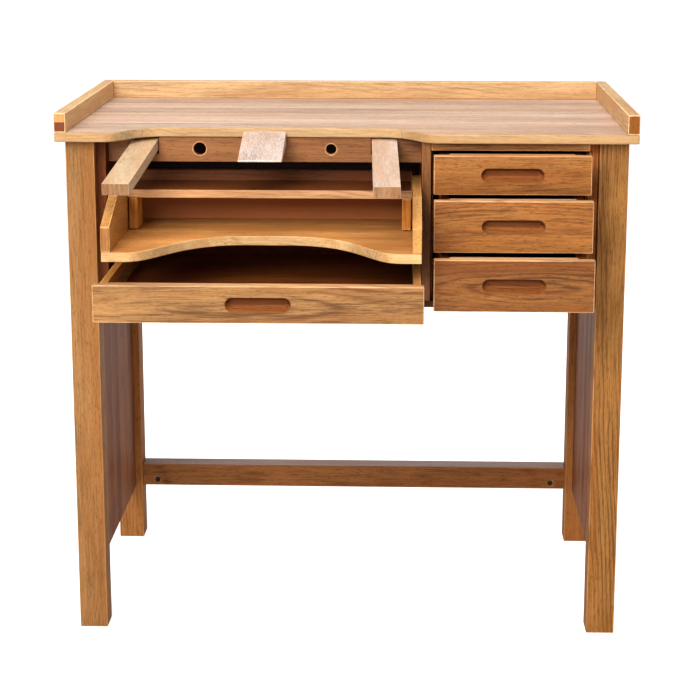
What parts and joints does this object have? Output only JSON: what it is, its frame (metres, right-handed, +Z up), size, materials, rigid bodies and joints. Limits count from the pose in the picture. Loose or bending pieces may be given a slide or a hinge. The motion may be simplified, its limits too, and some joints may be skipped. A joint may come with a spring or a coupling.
{
  "type": "jeweler's workbench",
  "caption": "Wooden jeweler's workbench with a recessed top, bench pin, pull-out armrests, catch tray and a stack of drawers.",
  "frame": {"origin": "on the floor under the middle of the whole bench's footprint, trays and drawers as pulled out", "axes": "+Z up, +X to the worker's right along the top, +Y away from the worker to the back rail"},
  "size_m": [1, 0.795, 0.946],
  "materials": {
    "varnished_wood": "clear satin varnish over honey-tan hardwood",
    "top_wood": "satin varnish, pale pinkish tan with long grain",
    "drawer_front_wood": "satin varnish, darker tan-brown with strong grain",
    "inner_wood": "thin varnish, warm brown",
    "dark_wood": "thin varnish, dark reddish brown",
    "armrest_wood": "sanded pale hardwood",
    "raw_wood": "unfinished greyish-pink hardwood",
    "steel": "dull steel"
  },
  "bodies": {
    "bench": {"bench_top": "top_wood", "rail_left": "varnished_wood", "rail_right": "varnished_wood", "rail_back": "varnished_wood", "leg_front_left": "varnished_wood", "leg_front_right": "varnished_wood", "leg_back_left": "varnished_wood", "leg_back_right": "varnished_wood", "side_panel_left": "dark_wood", "side_panel_right": "dark_wood", "stretcher": "varnished_wood", "stretcher_nut_left": "steel", "stretcher_nut_right": "steel", "apron": "varnished_wood", "divider": "varnished_wood", "partition_left": "dark_wood", "partition_right": "dark_wood", "drawer_rail": "varnished_wood", "cabinet_bottom": "dark_wood", "back_panel": "dark_wood", "tray_runner_left": "inner_wood", "tray_runner_right": "inner_wood", "drawer_runner_left": "inner_wood", "drawer_runner_right": "inner_wood", "runner_board_left": "inner_wood", "runner_board_right": "inner_wood", "armrest_guide_left": "dark_wood", "armrest_guide_right": "dark_wood"},
    "tray": {"tray_bottom": "varnished_wood", "tray_side_left": "varnished_wood", "tray_side_right": "varnished_wood", "tray_back": "inner_wood", "tray_shelf": "varnished_wood", "tray_post_left": "varnished_wood", "tray_post_right": "varnished_wood"},
    "wide_drawer": {"wide_drawer_front": "varnished_wood", "wide_drawer_side_left": "varnished_wood", "wide_drawer_side_right": "varnished_wood", "wide_drawer_back": "inner_wood", "wide_drawer_bottom": "inner_wood"},
    "drawer_1": {"drawer_1_front": "drawer_front_wood", "drawer_1_side_left": "inner_wood", "drawer_1_side_right": "inner_wood", "drawer_1_back": "inner_wood", "drawer_1_bottom": "inner_wood"},
    "drawer_2": {"drawer_2_front": "drawer_front_wood", "drawer_2_side_left": "inner_wood", "drawer_2_side_right": "inner_wood", "drawer_2_back": "inner_wood", "drawer_2_bottom": "inner_wood"},
    "drawer_3": {"drawer_3_front": "drawer_front_wood", "drawer_3_side_left": "inner_wood", "drawer_3_side_right": "inner_wood", "drawer_3_back": "inner_wood", "drawer_3_bottom": "inner_wood"},
    "armrest_slider_left": {"armrest_dowel_left": "armrest_wood"},
    "armrest_left": {"armrest_left": "armrest_wood"},
    "armrest_slider_right": {"armrest_dowel_right": "armrest_wood"},
    "armrest_right": {"armrest_right": "armrest_wood"},
    "bench_pin": {"bench_pin": "raw_wood"}
  },
  "joints": [
    {"name": "tray_slide", "type": "slide", "parent": "bench", "child": "tray", "axis": [0, -1, 0], "range_m": [-0.2, 0.05]},
    {"name": "wide_drawer_slide", "type": "slide", "parent": "bench", "child": "wide_drawer", "axis": [0, -1, 0], "range_m": [-0.2425, 0.15]},
    {"name": "drawer_1_slide", "type": "slide", "parent": "bench", "child": "drawer_1", "axis": [0, -1, 0], "range_m": [-0.051, 0.3]},
    {"name": "drawer_2_slide", "type": "slide", "parent": "bench", "child": "drawer_2", "axis": [0, -1, 0], "range_m": [-0.099, 0.25]},
    {"name": "drawer_3_slide", "type": "slide", "parent": "bench", "child": "drawer_3", "axis": [0, -1, 0], "range_m": [-0.148, 0.2]},
    {"name": "armrest_left_slide", "type": "slide", "parent": "bench", "child": "armrest_slider_left", "axis": [-0.0419, -0.9991, 0], "range_m": [-0.262, 0.017]},
    {"name": "armrest_left_tilt", "type": "hinge", "parent": "armrest_slider_left", "child": "armrest_left", "pos_m": [-0.352, -0.0405, 0.886], "axis": [0.9991, -0.0419, 0], "range_deg": [-7.1, 0.6]},
    {"name": "armrest_right_slide", "type": "slide", "parent": "bench", "child": "armrest_slider_right", "axis": [0.0262, -0.9997, 0], "range_m": [-0.276, 0.003]},
    {"name": "armrest_right_tilt", "type": "hinge", "parent": "armrest_slider_right", "child": "armrest_right", "pos_m": [0.0648, -0.0565, 0.886], "axis": [0.9997, 0.0262, 0], "range_deg": [-7.1, 0.6]},
    {"name": "bench_pin_slide", "type": "slide", "parent": "bench", "child": "bench_pin", "axis": [0, -1, 0], "range_m": [0, 0.055]}
  ],
  "couplings": [
    {"joint": "armrest_left_tilt", "follows": "armrest_left_slide", "rad_per_m": 0.46631},
    {"joint": "armrest_right_tilt", "follows": "armrest_right_slide", "rad_per_m": 0.44266}
  ]
}
